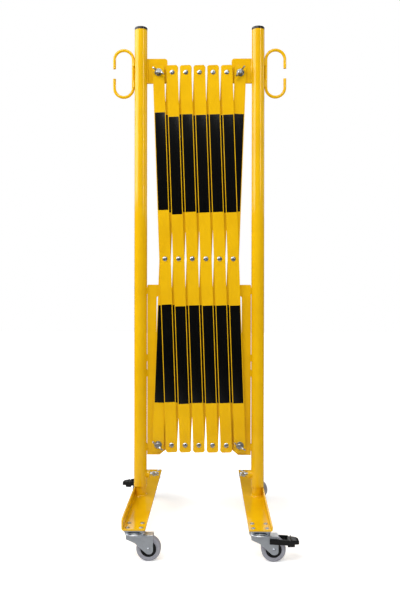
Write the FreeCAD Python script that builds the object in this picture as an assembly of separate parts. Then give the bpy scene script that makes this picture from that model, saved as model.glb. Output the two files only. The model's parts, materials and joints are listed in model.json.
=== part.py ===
import FreeCAD
import Part
import math
import os

from FreeCAD import Vector

# Mobile expanding scissor barrier, folded. Two round posts stand on castored feet, and a lattice
# of flat slats joins them. The lattice hangs from a fixed pivot at the top of each post, and its
# lower end bolts slide in a long guide slot, so the barrier draws out when the posts are parted.
#
# Millimetres. X runs from the left post to the right one, Y from the front to the back and Z up.
# The origin is on the floor, midway between the posts. Y = 0 is the plane of the post axes.

# ---- Lattice -----------------------------------------------------------------------------------
CELLS = 6                    # crossed pairs of slats
FOLDED_PITCH = 32.0          # from one end pivot to the next when folded
SLAT_SPAN = 874.6            # from the top pivot of a slat to its bottom pivot
SLAT_WIDTH = 27.0
SLAT_THICKNESS = 3.0
SLAT_END = 17.0              # slat beyond its end pivots
SLAT_CORNER = 3.5            # clipped corners of a slat
OPEN_ANGLE = 52.5            # lean of a slat when fully drawn out, in degrees

# ---- Pivots ------------------------------------------------------------------------------------
RUNNING_CLEARANCE = 0.1      # radial, between a pivot and what turns on it
FACE_CLEARANCE = 0.1         # between flat faces that slide past each other
RIVET_SHANK = 6.0            # diameter
RIVET_HEAD = 11.4            # diameter
RIVET_DOME = 2.8             # height of the front head
RIVET_TAIL = 9.6             # diameter of the formed head behind
RIVET_TAIL_HEIGHT = 1.8
RIVET_TAIL_EDGE = 0.7
RIVET_DIMPLE = 3.2           # diameter of the hollow in the front head
DIMPLE_FLOOR = 0.55          # height of the hollow's floor, as a share of the head
DOME_BANDS = (18, 48, 72)    # where a crowned head is faceted, in degrees round its crown
RIVET_WASHER = 15.0          # diameter
RIVET_WASHER_THICKNESS = 1.0

BOLT_SHANK = 8.0             # diameter of the four end bolts
BOLT_HEAD_FLATS = 13.0
BOLT_HEAD_HEIGHT = 5.3
BOLT_END = 1.5               # bolt beyond its wing nut
BOLT_WASHER = 17.5           # diameter
BOLT_WASHER_THICKNESS = 1.6
SPACER_DIAMETER = 14.0

# ---- Wings of the nuts and screws --------------------------------------------------------------
WING_SPAN = 32.0
WING_THICKNESS = 2.8
WING_RISE = 9.0              # tip of a wing above its hub
WING_EAR = 4.6               # radius of the rounded tip
HUB_BASE = 12.5              # diameter at the seat
HUB_TOP = 10.5               # diameter at the outer end
HUB_HEIGHT = 7.0
HUB_EDGE = 1.0               # bevel of the outer end, and how far a wing's root stays inside
WEB_FOOT = 0.8               # web of a wing above the seat
WEB_PLACE = (0.75, 0.66, 0.35, 0.93)     # web corners on the ear's rim, as shares of its radius
CLAMP_SPAN_SHARE = 0.86      # span of a clamp screw's wings against a nut's
NUT_TURNS = {"top_left": -30.0, "bottom_left": -40.0,      # wings from level, in degrees
             "top_right": 49.0, "bottom_right": -33.0}

# ---- Posts -------------------------------------------------------------------------------------
TUBE_DIAMETER = 30.0
TUBE_WALL = 2.0
PIVOT_REACH = 42.0           # post axis to the end pivots
PIVOT_DROP = 101.5           # top of the tube to the top pivots
PIVOT_RISE = 98.0            # lower end of the tube to the bottom pivots when folded
CAP_HEIGHT = 6.5
CAP_EDGE = 2.0               # bevelled top edge
CAP_DOME = 0.8
PLUG_DEPTH = 16.0            # cap inside the tube
PLUG_CLEARANCE = 0.1
PLUG_WALL = 2.5

BRACKET_THICKNESS = 4.0
BRACKET_REACH = 62.5         # post axis to the inner edge of both brackets
BRACKET_CORNER = 7.0
TOP_BRACKET_ABOVE = 35.0     # top bracket above its pivot
TOP_BRACKET_BELOW = 23.0     # top bracket below its pivot
SLOT_WIDTH = 9.2
SLOT_END_CLEARANCE = 4.0     # between a slot bolt and the slot end at either limit
SLOT_MARGIN_TOP = 26.9       # plate above the slot
SLOT_MARGIN_BOTTOM = 16.4    # plate below the slot
SLOT_BRACKET_CORNER = 3.0
SLOT_BRACKET_CHAMFER = (17.0, 14.0)     # lower inner corner, across and up
WELD_STITCH = 16.0           # length of one stitch
WELD_STITCHES = (0.045, 0.48, 0.57, 0.965)   # stitch centres, as shares of the plate height
WELD_RADIUS = 2.4
WELD_STANDOFF = 0.8          # daylight between the slotted plate and the tube
WELD_SHORT = 1.0             # a weld stops this far from the end of its plate

HOOK_ROD = 7.0               # diameter
HOOK_HEIGHT = 117.5          # over the rod
HOOK_WIDTH = 51.3            # over the rod
HOOK_MOUTH = 24.0            # between the two tips
HOOK_RISE = 0.0              # middle of the hook above the top pivot
HOOK_BEAD_PLACE = (0.36, 0.42)   # weld beads off the middle of the rod, as shares of its size

BOSS_DIAMETER = 17.0
BOSS_LENGTH = 8.0            # beyond the tube
BOSS_EDGE = 1.0
CLAMP_HEIGHT = 28.0          # clamp screw above the lower end of the tube
CLAMP_SHANK = 8.0            # diameter
CLAMP_HUB_GAP = 6.0          # bare shank between the boss and the wings
CLAMP_TIP_CLEARANCE = 0.3    # screw tip to spigot
CLAMP_TIP_BEVEL = 1.0
CLAMP_TURN = 62.0            # wings of the clamp screws from upright, in degrees

# ---- Feet --------------------------------------------------------------------------------------
FOOT_LENGTH = 468.0
FOOT_OUTER = 14.0            # post axis to the outer face of the upright flange
FOOT_INNER = 34.0            # post axis to the inner edge of the floor
FOOT_THICKNESS = 3.0
FOOT_HEIGHT = 24.0           # over the upright flange
FOOT_BEND = 1.6              # inside radius of the fold
FOOT_CORNER = 3.0            # rounded corners of the floor
FLANGE_CORNER = 6.0          # rounded top corner of the flange's high end
FLANGE_TAIL = 10.0           # height of the flange's low end; it slopes down from the post
FLANGE_TAIL_CORNER = 2.0
TUBE_SEAT = 1.0              # tube above the flange
SPIGOT_CLEARANCE = 0.1       # radial, spigot in tube
SPIGOT_WALL = 2.5
SPIGOT_HEIGHT = 120.0
SPIGOT_CHAMFER = 1.5
RING_LEG = 3.0               # legs of the weld round the spigot

# ---- Castors -----------------------------------------------------------------------------------
WHEEL_DIAMETER = 50.0
WHEEL_WIDTH = 18.0
TYRE_EDGE = 3.2
HUB_DIAMETER = 32.0
WHEEL_HUB_WIDTH = 19.0       # over the bosses of the hub
HUB_BOSS = 14.0              # diameter of the raised middle
HUB_RECESS = 2.6             # depth of the dished face
HUB_RIM = 3.0                # raised rim under the tyre
HUB_BOSS_EDGE = 0.6
AXLE_DIAMETER = 6.0
AXLE_HEAD = 8.2
AXLE_HEAD_HEIGHT = 1.8
CASTOR_TRAIL = 28.0          # swivel axis to axle
CASTOR_INSET = 24.0          # swivel axis from the end of the foot
CASTOR_OFFSET = 11.0         # swivel axis inward of the post axis
CASTOR_TURNS = {("left", "front"): 0, ("left", "rear"): 180,     # which way each castor trails,
                ("right", "front"): 0, ("right", "rear"): 0}     # in degrees from +X
BRAKED = (("right", "front"), ("left", "rear"))
PLATE_SIZE = 44.0
PLATE_THICKNESS = 2.5
PLATE_CORNER = 4.0
PLATE_PITCH = 28.0           # between screw holes, both ways
RACE_DIAMETER = 43.0
RACE_NECK = 28.0             # diameter of the upper race beside the nuts
RACE_FLARE = 2.4             # height of the wide part of the upper race
RACE_GAP = 0.4               # between the upper and lower races
RACE_STEP = 0.6              # upper race inside the lower one, at the radius
RACE_BEVELS = (1.2, 1.4)     # lower and upper edges of the upper race
RACE_SLOPE = 0.4             # rise from the wide part to the neck
LOWER_RACE_HEIGHT = 5.6
DISH_FOOT = 4.5              # dish narrower at its foot, at the radius
DISH_SHOULDER = 2.4          # height where the dish reaches its full width
DISH_BEVELS = (1.5, 1.6)     # its lower edges and its upper one
UPPER_RACE_HEIGHT = 6.9
KING_PIN = 8.0
KING_HEAD = 14.0
KING_HEAD_HEIGHT = 1.4
FORK_SHEET = 2.0
FORK_INSIDE = 20.0           # between the fork legs
FORK_BEND = 1.6              # rounded edge between crown and legs
FORK_TOE = 9.6               # radius of the rounded leg end
FORK_REAR = 9.6              # axle to the rear edge of the leg
WHEEL_CLEARANCE = 1.6        # tyre to crown
FORK_FRONT = 17.5            # swivel axis to the front of the leg at the crown
FORK_KNEE = (0.5, 37.5, 8.0)     # front corner of the leg: from the swivel axis, height, radius
FORK_APRON = 6.0             # front edge of the leg below the crown
FORK_TOE_PLACE = (0.25, 0.9, 0.8)    # toe corner before the axle and both its radii, as shares
FORK_TOE_DROP = (0.4, -0.6)  # front and rear of the leg below the toe's own radius
SCREW_SHANK = 5.0
SCREW_HEAD = 9.4
SCREW_DOME = 2.2
SCREW_NUT_FLATS = 8.0
SCREW_NUT_HEIGHT = 3.2
SCREW_END = 0.5

# ---- Brake pedal -------------------------------------------------------------------------------
PEDAL_PIVOT = (25.0, 43.0)   # from the swivel axis, height
PEDAL_PIN = 4.0
PEDAL_CHEEK = 2.6            # thickness of each side arm
PEDAL_SIDE_GAP = 0.4         # arm to fork leg
PEDAL_ARM = 10.6             # height of a side arm
PEDAL_TREAD = (56.5, 80.0)   # start and end of the tread, from the swivel axis
PEDAL_TREAD_HEIGHT = 7.5
PEDAL_TREAD_WIDTH = 30.0
PEDAL_TOE_WIDTH = 19.0
PEDAL_LIP = (9.0, 5.0)       # lower lip of the tread, length and depth
PEDAL_RIB = (15.5, 1.6, 2.8) # rib across the tread: its place before the toe, length, height
PEDAL_SLOPE = 3.0            # droop of the released pedal, in degrees
PEDAL_EDGE = 1.6
PEDAL_SOFT = 1.0             # rounding of the tread's underside and of its back edges
PEDAL_RIB_EDGE = 0.3
PEDAL_LAP = 3.0              # side arms reach this far into the tread
PEDAL_NOSE = (6.0, 0.6, 1.5, 2.0)    # crowned toe: length, rise, drop of its edge, rounding
PEDAL_CORNER = 4.0           # rounded corners of the tread seen from above

# ---- Derived -----------------------------------------------------------------------------------
X = Vector(1, 0, 0)
Y = Vector(0, 1, 0)
Z = Vector(0, 0, 1)
ORIGIN = Vector(0, 0, 0)

POST_X = PIVOT_REACH + CELLS * FOLDED_PITCH / 2
CROWN_Z = WHEEL_DIAMETER + WHEEL_CLEARANCE          # underside of the fork crown
RACE_Z = CROWN_Z + LOWER_RACE_HEIGHT + RACE_GAP     # underside of the upper race
CASTOR_HEIGHT = RACE_Z + UPPER_RACE_HEIGHT + PLATE_THICKNESS
FOOT_TOP = CASTOR_HEIGHT + FOOT_THICKNESS
TUBE_BOTTOM = CASTOR_HEIGHT + FOOT_HEIGHT + TUBE_SEAT
TUBE_RADIUS = TUBE_DIAMETER / 2
BORE_RADIUS = TUBE_RADIUS - TUBE_WALL
SPIGOT_RADIUS = BORE_RADIUS - SPIGOT_CLEARANCE
BOTTOM_PIVOT = TUBE_BOTTOM + PIVOT_RISE
TOP_PIVOT = BOTTOM_PIVOT + math.sqrt(SLAT_SPAN ** 2 - FOLDED_PITCH ** 2)
TUBE_TOP = TOP_PIVOT + PIVOT_DROP
OPEN_PIVOT = TOP_PIVOT - SLAT_SPAN * math.cos(math.radians(OPEN_ANGLE))
MIDDLE_PIVOT = (TOP_PIVOT + BOTTOM_PIVOT) / 2
CLAMP_Z = TUBE_BOTTOM + CLAMP_HEIGHT

# Faces of the lattice, from the brackets forward: bracket, washer, rear slat, washer, front slat.
BRACKET_FRONT = -BRACKET_THICKNESS / 2
REAR_BACK = BRACKET_FRONT - BOLT_WASHER_THICKNESS - 2 * FACE_CLEARANCE
REAR_FRONT = REAR_BACK - SLAT_THICKNESS
FRONT_BACK = REAR_FRONT - RIVET_WASHER_THICKNESS - 2 * FACE_CLEARANCE
FRONT_FRONT = FRONT_BACK - SLAT_THICKNESS


# ---- Building blocks ---------------------------------------------------------------------------
def in_xz(y):
    """Map a drawing (u, v) to the upright plane facing the front at depth y."""
    return lambda u, v: Vector(u, y, v)


def in_xy(z):
    """Map a drawing (u, v) to the level plane at height z."""
    return lambda u, v: Vector(u, v, z)


def outline(corners, plane, bevel=False):
    """Closed face through the corners (u, v, size), each one rounded to that radius or bevelled."""
    cuts = []
    count = len(corners)
    for i, (u, v, size) in enumerate(corners):
        here = Vector(u, v, 0)
        ahead = corners[(i + 1) % count]
        back = (Vector(corners[i - 1][0], corners[i - 1][1], 0) - here).normalize()
        onward = (Vector(ahead[0], ahead[1], 0) - here).normalize()
        half = back.getAngle(onward) / 2
        reach = size if bevel else size / math.tan(half)
        middle = here
        if size and not bevel:
            middle = here + (back + onward).normalize() * (size / math.sin(half) - size)
        cuts.append([plane(p.x, p.y) for p in (here + back * reach, middle, here + onward * reach)])
    edges = []
    for i, (start, middle, end) in enumerate(cuts):
        following = cuts[(i + 1) % count][0]
        if corners[i][2]:
            corner = Part.LineSegment(start, end) if bevel else Part.Arc(start, middle, end)
            edges.append(corner.toShape())
        if (following - end).Length > 1e-6:
            edges.append(Part.LineSegment(end, following).toShape())
    return Part.Face(Part.Wire(edges))


def slab(corners, y_front, y_back):
    """Upright plate drawn from the front, between two depths."""
    return outline(corners, in_xz(y_front)).extrude(Y * (y_back - y_front))


def level_slab(corners, z_low, z_high):
    """Level plate drawn from above, between two heights."""
    return outline(corners, in_xy(z_low)).extrude(Z * (z_high - z_low))


def box_corners(u_low, u_high, v_low, v_high, radius):
    """Corners of a rectangle, for outline()."""
    return [(u_low, v_low, radius), (u_high, v_low, radius),
            (u_high, v_high, radius), (u_low, v_high, radius)]


def cylinder(diameter, start, end):
    """Round bar between two points."""
    along = end - start
    return Part.makeCylinder(diameter / 2, along.Length, start, along)


def ring(outer, inner, start, end):
    """Washer, sleeve or tube between two points."""
    return cylinder(outer, start, end).cut(cylinder(inner, start, end))


def turned(corners, origin, axis):
    """Turned piece: the corners are (radius, height along the axis, bevel)."""
    body = outline(corners, in_xz(0), bevel=True).revolve(ORIGIN, Z, 360)
    body.Placement = FreeCAD.Placement(origin, FreeCAD.Rotation(Z, axis))
    return body


def dome(diameter, height, origin, axis, dimple=0.0):
    """Round head crowned in three bands, with a hollow in its middle if a dimple is given."""
    radius = diameter / 2
    crown = [(radius * math.cos(a), height * math.sin(a), 0)
             for a in (math.radians(angle) for angle in DOME_BANDS)]
    middle = [(0, height, 0)]
    if dimple:
        floor = height * DIMPLE_FLOOR
        middle = [(dimple / 2, height, 0), (dimple / 2, floor, 0), (0, floor, 0)]
    return turned([(0, 0, 0), (radius, 0, 0)] + crown + middle, origin, axis)


def hexagon(flats, height, origin, axis):
    """Hexagonal prism of a given size across its flats."""
    radius = flats / math.sqrt(3)
    points = [(radius * math.cos(math.radians(60 * i)), radius * math.sin(math.radians(60 * i)), 0)
              for i in range(6)]
    nut = level_slab(points, 0, height)
    nut.Placement = FreeCAD.Placement(origin, FreeCAD.Rotation(Z, axis))
    return nut


def mirrored(shape):
    """The same piece on the right-hand post."""
    return shape.mirror(ORIGIN, X)


def group(*pieces):
    """Separate solids kept together in one node."""
    return Part.makeCompound([solid for piece in pieces for solid in piece.Solids])


def wings(span, seat):
    """Pair of upright wings across X, rising along Z above a seat height."""
    tip = span / 2 - WING_EAR
    pieces = []
    for side in (-1, 1):
        ear = Part.makeCylinder(WING_EAR, WING_THICKNESS, Vector(side * tip, WING_THICKNESS / 2,
                                seat + WING_RISE), Vector(0, -1, 0))
        root, foot = side * HUB_EDGE, side * (HUB_BASE / 2 - HUB_EDGE)
        out_x, out_z, in_x, in_z = (WING_EAR * share for share in WEB_PLACE)
        web = slab([(root, seat + WEB_FOOT, 0), (foot, seat + WEB_FOOT, 0),
                    (side * (tip + out_x), seat + WING_RISE - out_z, 0),
                    (side * (tip - in_x), seat + WING_RISE + in_z, 0),
                    (root, seat + HUB_HEIGHT - HUB_EDGE, 0)],
                   -WING_THICKNESS / 2, WING_THICKNESS / 2)
        pieces += [ear, web]
    return pieces[0].fuse(pieces[1:])


# ---- Posts (drawn for the left post, with its axis on Z; +X is inward) --------------------------
def to_left(shape):
    """Move a piece drawn about the Z axis to the left post."""
    return shape.translated(Vector(-POST_X, 0, 0))


def post_tube():
    """Round tube, with the hole that the clamp screw passes through."""
    tube = ring(TUBE_DIAMETER, 2 * BORE_RADIUS, Z * TUBE_BOTTOM, Z * TUBE_TOP)
    hole = cylinder(CLAMP_SHANK + 2 * RUNNING_CLEARANCE, Z * CLAMP_Z,
                    Z * CLAMP_Z + X * TUBE_DIAMETER)
    return tube.cut(hole)


def end_cap():
    """Plastic cap: a rounded disc as wide as the tube, with a hollow plug below."""
    plug = BORE_RADIUS - PLUG_CLEARANCE
    return turned([(0, TUBE_TOP, 0), (plug - PLUG_WALL, TUBE_TOP, 0),
                   (plug - PLUG_WALL, TUBE_TOP - PLUG_DEPTH, 0),
                   (plug, TUBE_TOP - PLUG_DEPTH, 0), (plug, TUBE_TOP, 0),
                   (TUBE_RADIUS, TUBE_TOP, 0),
                   (TUBE_RADIUS, TUBE_TOP + CAP_HEIGHT - CAP_DOME, CAP_EDGE),
                   (0, TUBE_TOP + CAP_HEIGHT, 0)], ORIGIN, Z)


def tube_outside():
    """Solid bar the size of the tube, for cutting what is welded to it."""
    return cylinder(TUBE_DIAMETER, Z * (TUBE_BOTTOM - TUBE_DIAMETER), Z * (TUBE_TOP + TUBE_DIAMETER))


def weld(x, y, z_low, z_high):
    """Upright weld bead, trimmed where it meets the tube."""
    return cylinder(2 * WELD_RADIUS, Vector(x, y, z_low), Vector(x, y, z_high)).cut(tube_outside())


def hook():
    """Open C of round bar beside the top pivot, its back welded along the outside of the tube."""
    middle = TOP_PIVOT + HOOK_RISE
    back = -(TUBE_RADIUS + HOOK_ROD / 2)
    bend = (HOOK_WIDTH - HOOK_ROD) / 2
    straight = HOOK_HEIGHT / 2 - HOOK_ROD / 2 - bend
    front = back - 2 * bend
    rod = [cylinder(HOOK_ROD, Vector(back, 0, middle - straight), Vector(back, 0, middle + straight))]
    beads = []
    for side in (-1, 1):
        turn = Vector(back - bend, 0, middle + side * straight)
        disc = Part.Face(Part.Wire(Part.makeCircle(HOOK_ROD / 2, turn + X * bend, Z)))
        rod.append(disc.revolve(turn, Y, -180 * side))
        rod.append(cylinder(HOOK_ROD, Vector(front, 0, middle + side * HOOK_MOUTH / 2),
                            Vector(front, 0, middle + side * straight)))
        for y in (-1, 1):
            x = back + HOOK_ROD * HOOK_BEAD_PLACE[0]
            z = middle + side * (straight - WELD_STITCH / 2)
            beads.append(weld(x, y * HOOK_ROD * HOOK_BEAD_PLACE[1], z - WELD_STITCH / 2,
                              z + WELD_STITCH / 2))
    return rod[0].fuse(rod[1:] + beads).cut(tube_outside()).removeSplitter()


def top_bracket():
    """Flat plate coped to the tube and welded down both sides, with the top pivot hole."""
    low = TOP_PIVOT - TOP_BRACKET_BELOW
    high = TOP_PIVOT + TOP_BRACKET_ABOVE
    plate = slab([(0, low, 0), (BRACKET_REACH, low, BRACKET_CORNER),
                  (BRACKET_REACH, high, BRACKET_CORNER), (0, high, 0)],
                 BRACKET_FRONT, -BRACKET_FRONT).cut(tube_outside())
    hole = cylinder(BOLT_SHANK + 2 * RUNNING_CLEARANCE, Vector(PIVOT_REACH, BRACKET_FRONT, TOP_PIVOT),
                    Vector(PIVOT_REACH, -BRACKET_FRONT, TOP_PIVOT))
    beads = [weld(TUBE_RADIUS, side * BRACKET_THICKNESS / 2, low + WELD_SHORT,
                  high - WELD_SHORT).cut(plate) for side in (-1, 1)]
    return group(plate.cut(hole), *beads)


def slot_ends():
    """Centres of the lower and upper ends of the guide slot."""
    slack = SLOT_END_CLEARANCE + (BOLT_SHANK - SLOT_WIDTH) / 2
    return BOTTOM_PIVOT - slack, OPEN_PIVOT + slack


def slot_bracket():
    """Long plate with the guide slot, stitch-welded to the tube with daylight between."""
    slot_low, slot_high = slot_ends()
    low = slot_low - SLOT_WIDTH / 2 - SLOT_MARGIN_BOTTOM
    high = slot_high + SLOT_WIDTH / 2 + SLOT_MARGIN_TOP
    edge = TUBE_RADIUS + WELD_STANDOFF
    across, up = SLOT_BRACKET_CHAMFER
    plate = slab([(edge, low, WELD_SHORT), (BRACKET_REACH - across, low, SLOT_BRACKET_CORNER),
                  (BRACKET_REACH, low + up, SLOT_BRACKET_CORNER),
                  (BRACKET_REACH, high, SLOT_BRACKET_CORNER), (edge, high, SLOT_BRACKET_CORNER)],
                 BRACKET_FRONT, -BRACKET_FRONT)
    half = SLOT_WIDTH / 2
    slot = slab(box_corners(PIVOT_REACH - half, PIVOT_REACH + half, slot_low - half,
                            slot_high + half, half - 1e-4),
                BRACKET_FRONT - 1, -BRACKET_FRONT + 1)
    stitches = []
    for share in WELD_STITCHES:
        z = low + share * (high - low)
        z_low = max(low + WELD_SHORT, z - WELD_STITCH / 2)
        z_high = min(high - WELD_SHORT, z + WELD_STITCH / 2)
        tab = Part.makeBox(edge + WELD_SHORT, BRACKET_THICKNESS, z_high - z_low,
                           Vector(0, BRACKET_FRONT, z_low)).cut(tube_outside())
        beads = [weld(TUBE_RADIUS + WELD_STANDOFF / 2, side * BRACKET_THICKNESS / 2, z_low, z_high)
                 for side in (-1, 1)]
        stitches.append(tab.fuse(beads).removeSplitter().cut(plate))
    return group(plate.cut(slot), *stitches)


def clamp_boss():
    """Round boss coped to the tube, bored for the clamp screw."""
    outer = TUBE_RADIUS + BOSS_LENGTH
    body = turned([(0, 0, 0), (BOSS_DIAMETER / 2, 0, 0), (BOSS_DIAMETER / 2, outer, BOSS_EDGE),
                   (0, outer, 0)], Z * CLAMP_Z, X)
    bore = cylinder(CLAMP_SHANK + 2 * RUNNING_CLEARANCE, Z * CLAMP_Z, Z * CLAMP_Z + X * 2 * outer)
    return body.cut(tube_outside()).cut(bore)


def clamp_screw(turn):
    """Wing screw whose tip grips the spigot, turned by an angle about its own axis."""
    tip = SPIGOT_RADIUS + CLAMP_TIP_CLEARANCE
    seat = TUBE_RADIUS + BOSS_LENGTH + CLAMP_HUB_GAP
    shank = turned([(0, tip, 0), (CLAMP_SHANK / 2, tip, CLAMP_TIP_BEVEL),
                    (CLAMP_SHANK / 2, seat, 0), (HUB_BASE / 2, seat, 0),
                    (HUB_TOP / 2, seat + HUB_HEIGHT, HUB_EDGE), (0, seat + HUB_HEIGHT, 0)],
                   ORIGIN, Z)
    screw = shank.fuse(wings(WING_SPAN * CLAMP_SPAN_SHARE, seat)).removeSplitter()
    screw.Placement = FreeCAD.Placement(Z * CLAMP_Z, FreeCAD.Rotation(Y, 90).multiply(
        FreeCAD.Rotation(Z, turn)))
    return screw


# ---- Lattice -----------------------------------------------------------------------------------
def pivot_x(index):
    """X of an end pivot: 0 is at the left post and CELLS at the right post."""
    return (index - CELLS / 2) * FOLDED_PITCH


def slat(top_index, bottom_index, front, back, top_hole, bottom_hole):
    """Flat bar between a top and a bottom pivot, with three pivot holes."""
    half = SLAT_SPAN / 2 + SLAT_END
    side = SLAT_WIDTH / 2
    clip = SLAT_CORNER
    bar = slab([(-side, -half + clip, 0), (-side + clip, -half, 0), (side - clip, -half, 0),
                (side, -half + clip, 0), (side, half - clip, 0), (side - clip, half, 0),
                (-side + clip, half, 0), (-side, half - clip, 0)], front, back)
    for z, hole in ((SLAT_SPAN / 2, top_hole), (0, RIVET_SHANK), (-SLAT_SPAN / 2, bottom_hole)):
        bar = bar.cut(cylinder(hole + 2 * RUNNING_CLEARANCE, Vector(0, front - 1, z),
                               Vector(0, back + 1, z)))
    top, bottom = pivot_x(top_index), pivot_x(bottom_index)
    lean = math.degrees(math.atan2(top - bottom, TOP_PIVOT - BOTTOM_PIVOT))
    bar.Placement = FreeCAD.Placement(Vector((top + bottom) / 2, 0, MIDDLE_PIVOT),
                                      FreeCAD.Rotation(Y, lean))
    return bar


def rivet(x, z):
    """Domed rivet through a front and a rear slat, with the washer between them."""
    head = dome(RIVET_HEAD, RIVET_DOME, Vector(x, FRONT_FRONT, z), -Y, RIVET_DIMPLE)
    tail_face = REAR_BACK + FACE_CLEARANCE
    shank = cylinder(RIVET_SHANK, Vector(x, FRONT_FRONT, z), Vector(x, tail_face, z))
    tail = turned([(0, 0, 0), (RIVET_TAIL / 2, 0, 0), (RIVET_TAIL / 2, RIVET_TAIL_HEIGHT, RIVET_TAIL_EDGE),
                   (0, RIVET_TAIL_HEIGHT, 0)], Vector(x, tail_face, z), Y)
    washer = ring(RIVET_WASHER, RIVET_SHANK, Vector(x, FRONT_BACK, z),
                  Vector(x, FRONT_BACK + RIVET_WASHER_THICKNESS, z))
    return group(head.fuse([shank, tail]).removeSplitter(), washer)


def end_bolt(x, z, slat_front, sliding):
    """Bolt through a bracket and one slat: head behind, spacer or washer between, washer in front."""
    gap = FACE_CLEARANCE if sliding else 0.0
    seat = slat_front - FACE_CLEARANCE - BOLT_WASHER_THICKNESS
    back = -BRACKET_FRONT + gap
    tip = seat - HUB_HEIGHT - BOLT_END
    shank = cylinder(BOLT_SHANK, Vector(x, tip, z), Vector(x, back + BOLT_WASHER_THICKNESS, z))
    head = hexagon(BOLT_HEAD_FLATS, BOLT_HEAD_HEIGHT, Vector(x, back + BOLT_WASHER_THICKNESS, z), Y)
    washers = [ring(BOLT_WASHER, BOLT_SHANK, Vector(x, y, z), Vector(x, y + BOLT_WASHER_THICKNESS, z))
               for y in (seat, back)]
    slat_back = slat_front + SLAT_THICKNESS + FACE_CLEARANCE
    spacer = ring(SPACER_DIAMETER, BOLT_SHANK, Vector(x, slat_back, z),
                  Vector(x, BRACKET_FRONT - gap, z))
    return group(shank.fuse(head), *washers, spacer)


def wing_nut(x, z, slat_front, turn):
    """Wing nut on an end bolt, its wings turned by an angle from level."""
    seat = slat_front - FACE_CLEARANCE - BOLT_WASHER_THICKNESS - FACE_CLEARANCE
    bore = BOLT_SHANK / 2 + RUNNING_CLEARANCE
    hub = turned([(bore, 0, 0), (HUB_BASE / 2, 0, 0), (HUB_TOP / 2, HUB_HEIGHT, HUB_EDGE),
                  (bore, HUB_HEIGHT, 0)], ORIGIN, Z)
    inside = cylinder(2 * bore, -Z, Z * (WING_RISE + WING_SPAN))
    nut = hub.fuse(wings(WING_SPAN, 0).cut(inside)).removeSplitter()
    nut.Placement = FreeCAD.Placement(Vector(x, seat, z), FreeCAD.Rotation(X, 90).multiply(
        FreeCAD.Rotation(Z, turn)))
    return nut


# ---- Feet (drawn for the left foot, with the post axis on Z; +X is inward) ----------------------
def foot():
    """Folded L section with its spigot and the weld round it. The right foot is the same part,
    turned half round, so the low end of its flange is at the front."""
    half = FOOT_LENGTH / 2
    low, top = CASTOR_HEIGHT, CASTOR_HEIGHT + FOOT_HEIGHT
    inner_face = -FOOT_OUTER + FOOT_THICKNESS
    section = outline([(-FOOT_OUTER, low, FOOT_BEND + FOOT_THICKNESS), (FOOT_INNER, low, 0),
                       (FOOT_INNER, FOOT_TOP, 0), (inner_face, FOOT_TOP, FOOT_BEND),
                       (inner_face, top, 0), (-FOOT_OUTER, top, 0)], in_xz(-half))
    angle = section.extrude(Y * FOOT_LENGTH)
    ends = outline([(-half, low - 1, 0), (half, low - 1, 0),
                    (half, low + FLANGE_TAIL, FLANGE_TAIL_CORNER), (0, top, 0),
                    (-half, top, FLANGE_CORNER)], lambda u, v: Vector(-FOOT_OUTER - 1, u, v))
    plan = level_slab([(-FOOT_OUTER, -half, 0), (FOOT_INNER, -half, FOOT_CORNER),
                       (FOOT_INNER, half, FOOT_CORNER), (-FOOT_OUTER, half, 0)], low - 1, top + 1)
    angle = angle.common(ends.extrude(X * (FOOT_OUTER + FOOT_INNER + 2))).common(plan)
    for sign in (-1, 1):
        for x, y in screw_places(CASTOR_OFFSET, sign * (half - CASTOR_INSET)):
            angle = angle.cut(cylinder(SCREW_SHANK, Vector(x, y, low - 1),
                                       Vector(x, y, FOOT_TOP + 1)))
    top_z = FOOT_TOP + SPIGOT_HEIGHT
    bore = SPIGOT_RADIUS - SPIGOT_WALL
    spigot = turned([(bore, FOOT_TOP, 0), (SPIGOT_RADIUS, FOOT_TOP, 0),
                     (SPIGOT_RADIUS, top_z - SPIGOT_CHAMFER, 0),
                     (SPIGOT_RADIUS - SPIGOT_CHAMFER, top_z, 0), (bore, top_z, 0)], ORIGIN, Z)
    weld_ring = turned([(SPIGOT_RADIUS, FOOT_TOP, 0), (SPIGOT_RADIUS + RING_LEG, FOOT_TOP, 0),
                        (SPIGOT_RADIUS, FOOT_TOP + RING_LEG, 0)], ORIGIN, Z)
    outside = Part.makeBox(TUBE_DIAMETER, 2 * TUBE_DIAMETER, FOOT_HEIGHT,
                           Vector(inner_face - TUBE_DIAMETER, -TUBE_DIAMETER, FOOT_TOP))
    return group(angle, spigot.cut(angle), weld_ring.cut(outside).cut(angle))


def screw_places(x, y):
    """Centres of the four screws of a castor plate centred at (x, y)."""
    half = PLATE_PITCH / 2
    return [(x + a * half, y + b * half) for a in (-1, 1) for b in (-1, 1)]


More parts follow.
